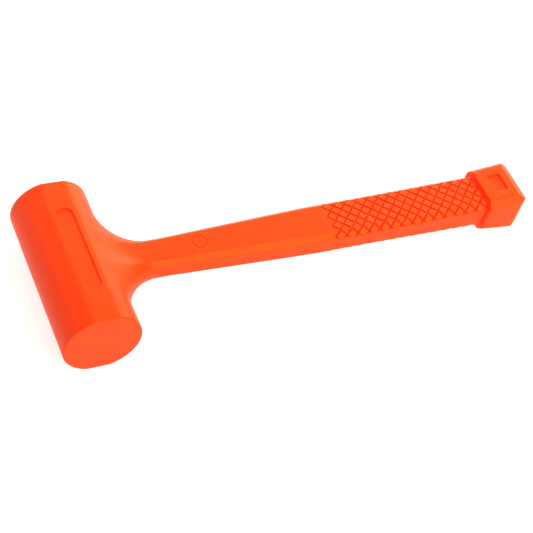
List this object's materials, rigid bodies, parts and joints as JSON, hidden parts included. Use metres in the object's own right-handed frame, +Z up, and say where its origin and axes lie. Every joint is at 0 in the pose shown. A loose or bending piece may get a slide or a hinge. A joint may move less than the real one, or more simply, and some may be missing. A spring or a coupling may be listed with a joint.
{
  "type": "dead blow mallet",
  "caption": "Dead blow mallet: a cylindrical orange head with flat sides, loose steel shot inside, and an eight-sided handle with a diamond grip and flared butt.",
  "frame": {"origin": "under the middle of the mallet's length, level with the lower flat of the head", "axes": "+X along the handle from the head to the butt, Y along the head's axis from face to face, +Z up, square to the handle's broad faces"},
  "size_m": [0.3534, 0.113, 0.0485],
  "materials": {
    "orange_polyurethane": "smooth moulded polyurethane with a soft sheen, one colour right through",
    "mill_steel": "drawn steel tube, plate and bar as it comes from the mill",
    "weld_metal": "rippled weld bead, slightly darkened",
    "polished_shot": "bright steel balls"
  },
  "bodies": {
    "mallet": {"jacket": "orange_polyurethane", "butt_plug": "orange_polyurethane", "canister_tube": "mill_steel", "end_plate_a": "mill_steel", "end_plate_b": "mill_steel", "end_weld_a": "weld_metal", "end_weld_b": "weld_metal", "handle_rod": "mill_steel", "rod_weld": "weld_metal"},
    "shot": {"shot_ball_01": "polished_shot", "shot_ball_02": "polished_shot", "shot_ball_03": "polished_shot", "shot_ball_04": "polished_shot", "shot_ball_05": "polished_shot", "shot_ball_06": "polished_shot", "shot_ball_07": "polished_shot", "shot_ball_08": "polished_shot", "shot_ball_09": "polished_shot", "shot_ball_10": "polished_shot", "shot_ball_11": "polished_shot", "shot_ball_12": "polished_shot", "shot_ball_13": "polished_shot", "shot_ball_14": "polished_shot", "shot_ball_15": "polished_shot", "shot_ball_16": "polished_shot", "shot_ball_17": "polished_shot", "shot_ball_18": "polished_shot", "shot_ball_19": "polished_shot", "shot_ball_20": "polished_shot", "shot_ball_21": "polished_shot", "shot_ball_22": "polished_shot", "shot_ball_23": "polished_shot", "shot_ball_24": "polished_shot", "shot_ball_25": "polished_shot", "shot_ball_26": "polished_shot", "shot_ball_27": "polished_shot", "shot_ball_28": "polished_shot", "shot_ball_29": "polished_shot", "shot_ball_30": "polished_shot"}
  },
  "joints": [
    {"name": "shot_slide", "type": "slide", "parent": "mallet", "child": "shot", "axis": [0, 1, 0], "range_m": [-0.0121, 0.0121]}
  ]
}
